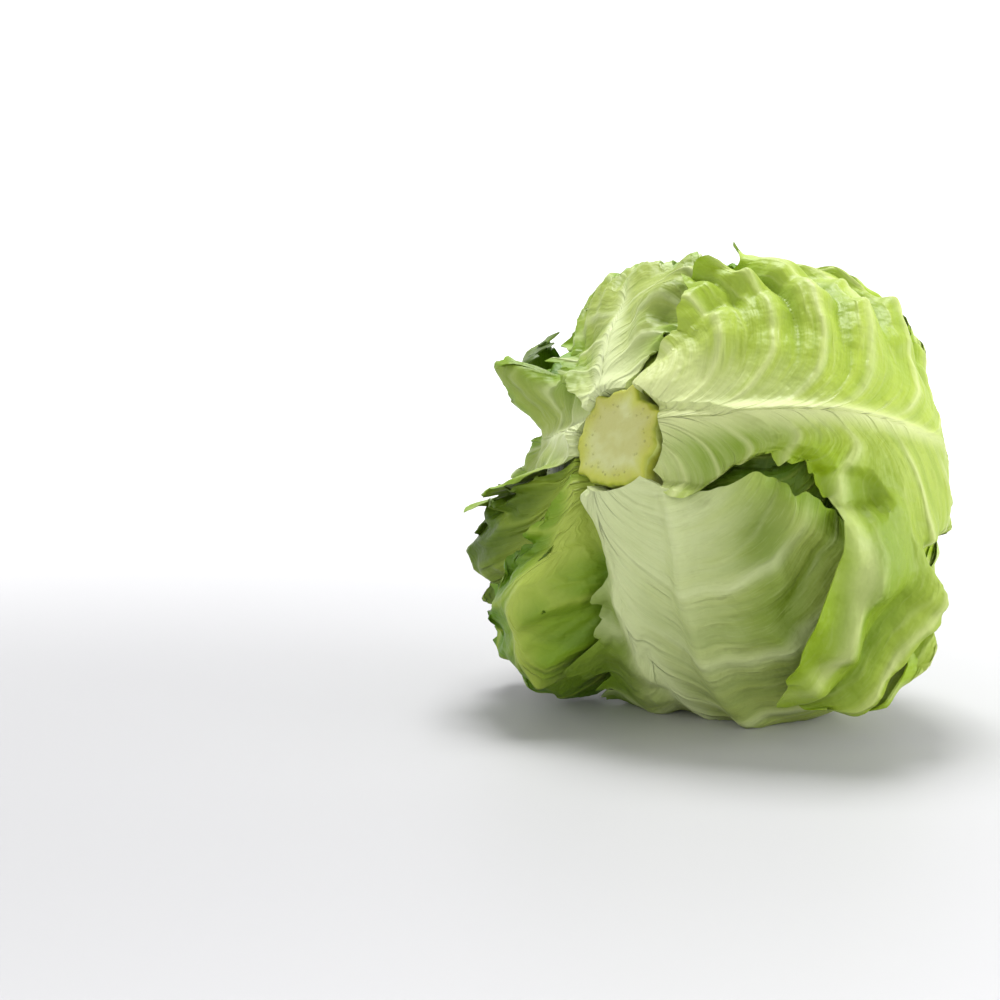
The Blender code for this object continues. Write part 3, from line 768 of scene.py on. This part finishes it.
def doubled_sheet(name, rows, columns, ways, base, maps):
    """A back and a front skin on the same places, sewn together round the rim."""
    count = (rows + 1) * (columns + 1)
    grid = np.arange(count).reshape(rows + 1, columns + 1)
    back = np.stack([grid[:-1, :-1], grid[:-1, 1:], grid[1:, 1:], grid[1:, :-1]], axis=-1).reshape(-1, 4)
    rim = np.concatenate([grid[0, :-1], grid[:-1, -1], grid[-1, :0:-1], grid[:0:-1, 0]])
    ahead = np.roll(rim, -1)
    walls = np.stack([rim, rim + count, ahead + count, ahead], axis=-1)
    faces = np.concatenate([back, back[:, ::-1] + count, walls])
    places = np.tile(HEAD_MIDDLE + ways * base[:, None], (2, 1))
    mesh = bpy.data.meshes.new(name)
    mesh.vertices.add(2 * count)
    mesh.vertices.foreach_set("co", places.astype(np.float32).ravel())
    mesh.loops.add(faces.size)
    mesh.loops.foreach_set("vertex_index", faces.astype(np.int32).ravel())
    mesh.polygons.add(len(faces))
    mesh.polygons.foreach_set("loop_start", np.arange(0, faces.size, 4, dtype=np.int32))
    mesh.update(calc_edges=True)
    carry(mesh, {key: np.tile(values, 2) for key, values in dict(maps, base=base).items()})
    carry(mesh, {"skin": np.repeat([0.0, 1.0], count)})
    return mesh


def leaf_sheet(leaf):
    """The sheet of one leaf, resting on all that is covered so far."""
    length = math.radians(leaf.tip - FOOT_TILT) * LENGTH_RADIUS
    breadth = math.radians(max(low + high for _, low, high in leaf.widths)) * BREADTH_RADIUS
    rows, columns = round(length / leaf.cell), round(breadth / leaf.cell)
    across = np.linspace(-1, 1, columns + 1)
    v, u = (a.ravel() for a in np.meshgrid(np.linspace(0, 1, rows + 1), across, indexing="ij"))
    _, foot_turn = leaf_outline(leaf, across, np.zeros_like(across), math.radians(15))
    tilt, turn = leaf_outline(leaf, u, v, np.tile(foot_tilt(leaf, foot_turn), rows + 1))
    ways = direction(tilt, turn)
    level = round_radius(HEAD_RADII, ways) + leaf.level * MM
    rest = covered.drape(ways) + LEAF_GAP
    toward_edge = 1 - (1 - np.abs(u)) ** 2
    lean = 1 + (np.where(u < 0, leaf.lean[0], leaf.lean[1]) - 1) * toward_edge
    base = 0.5 * (level + rest + np.sqrt((level - rest) ** 2 + SOFT_STEP**2))
    base += smooth_through(leaf.stand, v) * lean * MM
    aside = (turn - math.radians(leaf.turn)) * base * np.sin(tilt)
    widest = math.radians(max(max(low, high) for _, low, high in leaf.widths))
    half = np.abs(turn - math.radians(leaf.turn)) / np.maximum(np.abs(u), 1e-3)
    margin = np.minimum((1 - np.abs(u)) * half * base * np.sin(tilt),
                        (1 - v) * math.radians(leaf.tip) * base)
    shade = np.zeros_like(u)
    for at_v, at_u, reach_v, reach_u in leaf.shades:
        shade += np.exp(-((v - at_v) / reach_v) ** 2 - ((u - at_u) / reach_u) ** 2)
    maps = {"across": u, "along": v, "aside": aside, "margin": margin, "shade": np.minimum(shade, 1),
            "off": np.abs(turn - math.radians(leaf.turn)) / widest}
    return doubled_sheet(leaf.name + "_sheet", rows, columns, ways, base, maps)


print("sheets can be cut")

# %% [markdown]
# ## The heart
#
# Inside the big leaves is a tight ball of small ones. Only hints of it show, so modelling
# each of its leaves would be wasted. It is a fine ball pushed out to the heart's radius, with
# a low step for each leaf edge that spirals over the crown, and a socket for the stem.

# %% The heart, under everything
import bmesh

HEART_LEAVES = 9
HEART_STEP = 1.3 * MM
HEART_TO_TABLE = 64.0 * MM
TABLE_BLEND = 26.0
SOCKET_RADIUS, SOCKET_FLOOR, SOCKET_TILT = 17.5 * MM, 25 * MM, 0.6


def heart_mesh():
    """The tight ball of inner leaves: each leaf's edge is a step that spirals over the crown."""
    bm = bmesh.new()
    bmesh.ops.create_icosphere(bm, subdivisions=7, radius=1.0)
    ways = np.array([v.co.normalized() for v in bm.verts])
    tilt = np.arccos(np.clip(ways @ stem_axis, -1, 1))
    turn = np.arctan2(ways @ turn_ninety, ways @ turn_zero)
    radius = round_radius(HEART_RADII, ways)
    spiral = (turn / math.tau * HEART_LEAVES + 2.2 * np.cos(tilt)
              + 0.12 * np.sin(9 * tilt + 2 * turn)) % 1.0
    step = smoothstep(0.0, 0.25, spiral) * (1 - smoothstep(0.9, 1.0, spiral))
    radius += HEART_STEP * step * np.sin(tilt) ** 2
    # Away from its side of the ball, the table is put a metre away.
    to_table = np.where(ways[:, 2] < -0.2, HEART_TO_TABLE / np.maximum(-ways[:, 2], 0.2), 1.0)
    radius = (radius ** -TABLE_BLEND + to_table ** -TABLE_BLEND) ** (-1 / TABLE_BLEND)
    # The stem's socket.
    beside_stem = np.sin(tilt) * radius
    in_socket = (tilt < SOCKET_TILT) & (beside_stem < SOCKET_RADIUS)
    radius = np.where(in_socket, np.minimum(radius, SOCKET_FLOOR), radius)
    for vert, place in zip(bm.verts, HEAD_MIDDLE + ways * radius[:, None]):
        vert.co = place
    mesh = bpy.data.meshes.new("heart_leaves")
    bm.to_mesh(mesh)
    bm.free()
    # Painted shade: the pillow and shade maps darken the groove at each leaf edge's step.
    carry(mesh, {"along": 0.25 + 0.6 * tilt / math.pi, "aside": np.full(len(ways), 0.05),
                 "margin": 0.004 + 0.03 * (1 - spiral), "off": spiral, "vein": spiral * 3,
                 "pillow": step, "streak": tilt * 70, "shade": 1 - step})
    mesh.shade_smooth()
    return mesh


heart = new_object("heart_leaves", heart_mesh())
heart.data.materials.append(finishes["mid"])
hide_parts("heart")
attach(heart, "root")
covered.add(heart)
print("heart:", len(heart.data.polygons), "faces")

# %% [markdown]
# ## Laying them down
#
# Now each sheet goes through the leaf tree. The result is turned into a plain mesh before
# anything else touches it, and the rays are shot again, so that the next leaf knows about it.
# With the tree left live as a modifier, the leaf above would have nothing to rest on.

# %% Lay the leaves, from the inside out
SHARP_ANGLE = math.radians(60)


def lay(leaf):
    """Makes one leaf's blade, puts it in the scene and shoots the rays at it."""
    carrier = new_object(leaf.name + "_sheet", leaf_sheet(leaf))
    rule = carrier.modifiers.new("leaf_blade", "NODES")
    rule.node_group = leaf_tree
    values = {
        "Middle": tuple(HEAD_MIDDLE), "Folds": leaf.folds, "Fold depth left": leaf.fold_depths[0] * MM,
        "Fold depth right": leaf.fold_depths[1] * MM, "Ruffle": leaf.ruffle * MM,
        "Dents": leaf.dents * MM, "Dent size": leaf.dent_size, "Pleat": leaf.pleat * MM,
        "Pleat place": leaf.pleat_place, "Foot swell": leaf.foot * MM,
        "Length": math.radians(leaf.tip) * (LENGTH_RADIUS * MM), "Seed": 0.37 * LEAVES.index(leaf),
        "Ruffle count": float(leaf.ruffle_count), "Phase": leaf.phase, "Crumple": leaf.crumple * MM,
        "Vein height": leaf.vein_height * MM, "Thickness": leaf.thickness * MM, "Midrib": leaf.rib * MM,
        "Midrib width": leaf.rib_width * MM, "Table drop": float(HEAD_MIDDLE[2]) - leaf.floor * MM,
        "Finish": finishes[leaf.look],
    }
    for name, value in values.items():
        rule[leaf_inputs[name]] = value
    depsgraph = bpy.context.evaluated_depsgraph_get()
    mesh = bpy.data.meshes.new_from_object(carrier.evaluated_get(depsgraph), depsgraph=depsgraph,
                                           preserve_all_data_layers=True)
    bpy.data.objects.remove(carrier)
    mesh.name = leaf.name + "_blade"
    mesh.set_sharp_from_angle(angle=SHARP_ANGLE)
    piece = new_object(leaf.name + "_blade", mesh)
    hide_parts(leaf.name)
    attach(piece, "root")
    covered.add(piece)
    print(f"{leaf.name}: {len(mesh.polygons)} faces, reaches {covered.radii.max() * 1000:.1f} mm")
    return piece


blades = [lay(leaf) for leaf in LEAVES]

# %% [markdown]
# ## The finish of the cut stem
#
# The knife leaves a pale, wet disc. Tiny bundles that carried the sap make a ring of dots in
# it, and it goes olive and rough at the rim, where it dries first. The mesh says how far a
# place is from the stem's axis, and whether it is on the cut, and noise makes the borders
# between the colours uneven. A painted picture would do too, but sums stay sharp close up.

# %% Stem finish
stem_finish, tree, shader = new_finish("stem_cut")
place = add_node(tree, "ShaderNodeTexCoord", output="Object")
from_axis, cut = carried(tree, "from_axis"), carried(tree, "cut")
cloud = noise(tree, place, scale=140.0, detail=4.0)
grain = noise(tree, place, scale=900.0)
patches = noise(tree, place, scale=75.0, detail=3.0)
colour = mix(ease(from_axis + (cloud - 0.5) * 0.35, 0.5, 0.95), (0.55, 0.58, 0.24), (0.48, 0.51, 0.050))
colour = mix(ease(patches, 0.45, 0.62) * 0.5, colour, (0.42, 0.40, 0.075))
dots = add_node(tree, "ShaderNodeTexVoronoi", {"Vector": place, "Scale": 520.0}, output="Distance")
dot = (1.0 - ease(dots, 0.10, 0.30)) * bell(from_axis - 0.72, 0.16)
colour = mix(dot * 0.55, colour, (0.36, 0.36, 0.08))
colour = mix(ease(from_axis + (cloud - 0.5) * 0.2, 0.90, 1.03), colour, (0.33, 0.38, 0.028))
colour = mix((1.0 - cut) * ease(cloud, 0.30, 0.6), colour, (0.46, 0.52, 0.13))
feed(tree, shader.inputs["Base Color"], colour)
feed(tree, shader.inputs["Roughness"], 0.34 + cloud * 0.2)
feed(tree, shader.inputs["Normal"], bump(tree, dot * 0.8 + grain * 0.5 + cloud * 1.5, 0.35 * MM))
print("stem finish has", len(tree.nodes), "nodes")

# %% [markdown]
# ## The shape of the cut stem
#
# The stem is a stout peg that was cut at a slight slant, a little off the head's axis. Its
# sides are flattened where leaves were broken off, and a few broken leaf bases stand out from
# the rim as small points. It is made of rings, because on a ring each of these marks is one
# term in a sum over the angle. Boolean cuts could make them too, but leave ragged faces.

# %% Stem shape
STEM_CUT_HEIGHT = 68.0 * MM
STEM_SLANT, STEM_SLANT_TURN = math.radians(8), math.radians(330)
STEM_ROOT_RADIUS, STEM_ROOT_HEIGHT = 11.5 * MM, 27.0 * MM
STEM_SCARS, STEM_SCAR_DEPTH = 7, 0.9 * MM
STEM_NUBS = (12, 62, 112, 205, 300)
STEM_NUB_HEIGHT, STEM_NUB_WIDTH = 3.2 * MM, 0.12
STEM_SAG = 0.4 * MM
AROUND = 240


def stem_mesh():
    """Rings from the middle of the cut, over its rim and down the side to the hidden root."""
    turn = np.arange(AROUND) * math.tau / AROUND
    scar = 0.5 + 0.5 * np.cos(STEM_SCARS * turn + 0.6 * np.sin(2 * turn))
    ragged = 0.25 * MM * np.sin(13 * turn + 1.0) + 0.15 * MM * np.sin(29 * turn)
    for nub in STEM_NUBS:
        off = (turn - math.radians(nub) + math.pi) % math.tau - math.pi
        ragged += STEM_NUB_HEIGHT * np.exp(-np.abs(off / STEM_NUB_WIDTH) ** 1.4)
    rim = STEM_CUT_RADIUS - STEM_SCAR_DEPTH * scar + ragged
    slant = math.tan(STEM_SLANT) * np.cos(turn - STEM_SLANT_TURN)
    # Each ring: radius, height, share of the way to the rim, 1 on the cut, share of the offset.
    rings = []
    for share in np.linspace(0.02, 1.0, 22):
        inward = 0.7 * MM * smoothstep(0.93, 1.0, share)
        dish = 0.35 * MM * np.sin(2 * turn + 0.7) * share + 0.25 * MM * np.sin(5 * turn) * share**3
        rings.append((rim * share - 0.25 * MM * smoothstep(0.95, 1, share),
                      STEM_CUT_HEIGHT - inward + dish - STEM_SAG * (1 - share) - slant * rim * share,
                      share, 1.0, 1.0))
    for up in np.linspace(0.97, 0.0, 34):
        radius = STEM_ROOT_RADIUS + (rim - STEM_ROOT_RADIUS) * min(1.0, up * 1.35)
        height = STEM_ROOT_HEIGHT + up * (STEM_CUT_HEIGHT - slant * rim - STEM_ROOT_HEIGHT)
        knuckle = 0.3 * MM * np.sin(40 * up + 3 * turn)
        rings.append((radius + knuckle * (up < 0.9), height, 1.0, 0.0, up))
    places, from_axis, cut = [], [], []
    aside = STEM_ASIDE[0] * turn_zero + STEM_ASIDE[1] * turn_ninety
    for radius, height, share, is_cut, moved in rings:
        radius = np.broadcast_to(radius, AROUND)
        height = np.broadcast_to(height, AROUND)
        outward = np.cos(turn)[:, None] * turn_zero + np.sin(turn)[:, None] * turn_ninety
        places.append(HEAD_MIDDLE + height[:, None] * stem_axis + radius[:, None] * outward + aside * moved)
        from_axis += [share] * AROUND
        cut += [is_cut] * AROUND
    middle = HEAD_MIDDLE + (STEM_CUT_HEIGHT - STEM_SAG) * stem_axis + aside
    root = HEAD_MIDDLE + STEM_ROOT_HEIGHT * stem_axis
    places = np.concatenate(places + [middle[None], root[None]])
    top, bottom = len(places) - 2, len(places) - 1
    faces = []
    for ring in range(len(rings) - 1):
        for i in range(AROUND):
            j = (i + 1) % AROUND
            a = ring * AROUND
            faces.append((a + i, a + AROUND + i, a + AROUND + j, a + j))
    last = (len(rings) - 1) * AROUND
    faces += [(top, i, (i + 1) % AROUND) for i in range(AROUND)]
    faces += [(bottom, last + (i + 1) % AROUND, last + i) for i in range(AROUND)]
    mesh = bpy.data.meshes.new("stem_cut")
    mesh.from_pydata(places.tolist(), [], faces)
    carry(mesh, {"from_axis": from_axis + [0.0, 1.0], "cut": cut + [1.0, 0.0]})
    mesh.shade_smooth()
    return mesh


stem = new_object("stem_cut", stem_mesh())
stem.data.materials.append(stem_finish)
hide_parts("cut_stem")
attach(stem, "root")
print("stem:", len(stem.data.polygons), "faces")

# %% [markdown]
# ## The table
#
# The table is a sheet of pale paper that sweeps up behind the head, as in a photographer's
# studio, so there is no line where it ends. Far from the head the paper glows, until it is
# white. Strong lights on the background could do that as well, but they would spill onto the
# head, and a glow that starts at a chosen distance leaves the shadow under it alone.


# %% Paper sweep
def sweep_mesh():
    """A floor that turns up into a wall far behind, and also far in front and at the sides."""
    rings, around = [], 96
    profile = ((0.0, 0.0), (0.2, 0.0), (0.5, 0.0), (1.0, 0.0), (1.6, 0.0), (2.0, 0.03), (2.4, 0.14),
               (2.7, 0.34), (2.9, 0.6), (3.0, 1.0), (3.0, 2.6))
    for r, z in profile:
        rings.append([(r * math.cos(i * math.tau / around), r * math.sin(i * math.tau / around), z)
                      for i in range(around)] if r else [(0, 0, 0)])
    places = [p for ring in rings for p in ring]
    faces = [(0, 1 + i, 1 + (i + 1) % around) for i in range(around)]
    for k in range(len(rings) - 2):
        a = 1 + k * around
        faces += [(a + i, a + around + i, a + around + (i + 1) % around, a + (i + 1) % around)
                  for i in range(around)]
    mesh = bpy.data.meshes.new("paper")
    mesh.from_pydata(places, [], faces)
    mesh.shade_smooth()
    return mesh


paper = new_object("paper", sweep_mesh())
paper_finish, tree, shader = new_finish("paper")
shader.inputs["Base Color"].default_value = (0.49, 0.49, 0.50, 1)
shader.inputs["Roughness"].default_value = 0.55
shader.inputs["Emission Color"].default_value = (1, 1, 1, 1)
place = add_node(tree, "ShaderNodeTexCoord", output="Object")
# The part that doesn't glow is round, and its middle lies left of the head, in its shadow.
far = vector_sum(tree, "LENGTH", vector_sum(tree, "ADD", place, (0.12, 0.03, 0.0)), output="Value")
feed(tree, shader.inputs["Emission Strength"], ease(far, 0.08, 0.9) * 0.85)
paper.data.materials.append(paper_finish)
print("paper:", len(paper.data.polygons), "faces")

# %% [markdown]
# ## Lights
#
# A picture like this one is lit by one big soft box above and a little behind the head, which
# gives the bright top and the soft shadow under the front. A weaker box fills the right side,
# and a dim room keeps the shadows from going black. A sun lamp would be simpler, but its hard
# shadow would make the folds look like tin.

# %% Lights
world = bpy.data.worlds.new("room")
world.use_nodes = True
world.node_tree.nodes["Background"].inputs["Color"].default_value = (1, 1, 1, 1)
world.node_tree.nodes["Background"].inputs["Strength"].default_value = 0.11
bpy.context.scene.world = world


def softbox(name, place, size, power):
    lamp = new_object(name, bpy.data.lights.new(name, "AREA"))
    lamp.data.size, lamp.data.energy = size, power
    lamp.location = place
    lamp.rotation_euler = (Vector(HEAD_MIDDLE) - Vector(place)).to_track_quat("-Z", "Y").to_euler()


softbox("over", (0.0, 0.34, 1.0), size=0.40, power=12.3)
softbox("fill", (1.0, -0.2, 0.35), size=0.6, power=6.0)
bpy.context.scene.view_settings.view_transform = "Standard"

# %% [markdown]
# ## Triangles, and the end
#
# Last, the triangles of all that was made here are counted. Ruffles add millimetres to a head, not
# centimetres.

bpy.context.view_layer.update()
triangles = sum(len(p.vertices) - 2 for o in [heart, stem, *blades] for p in o.data.polygons)
print("triangles:", triangles)
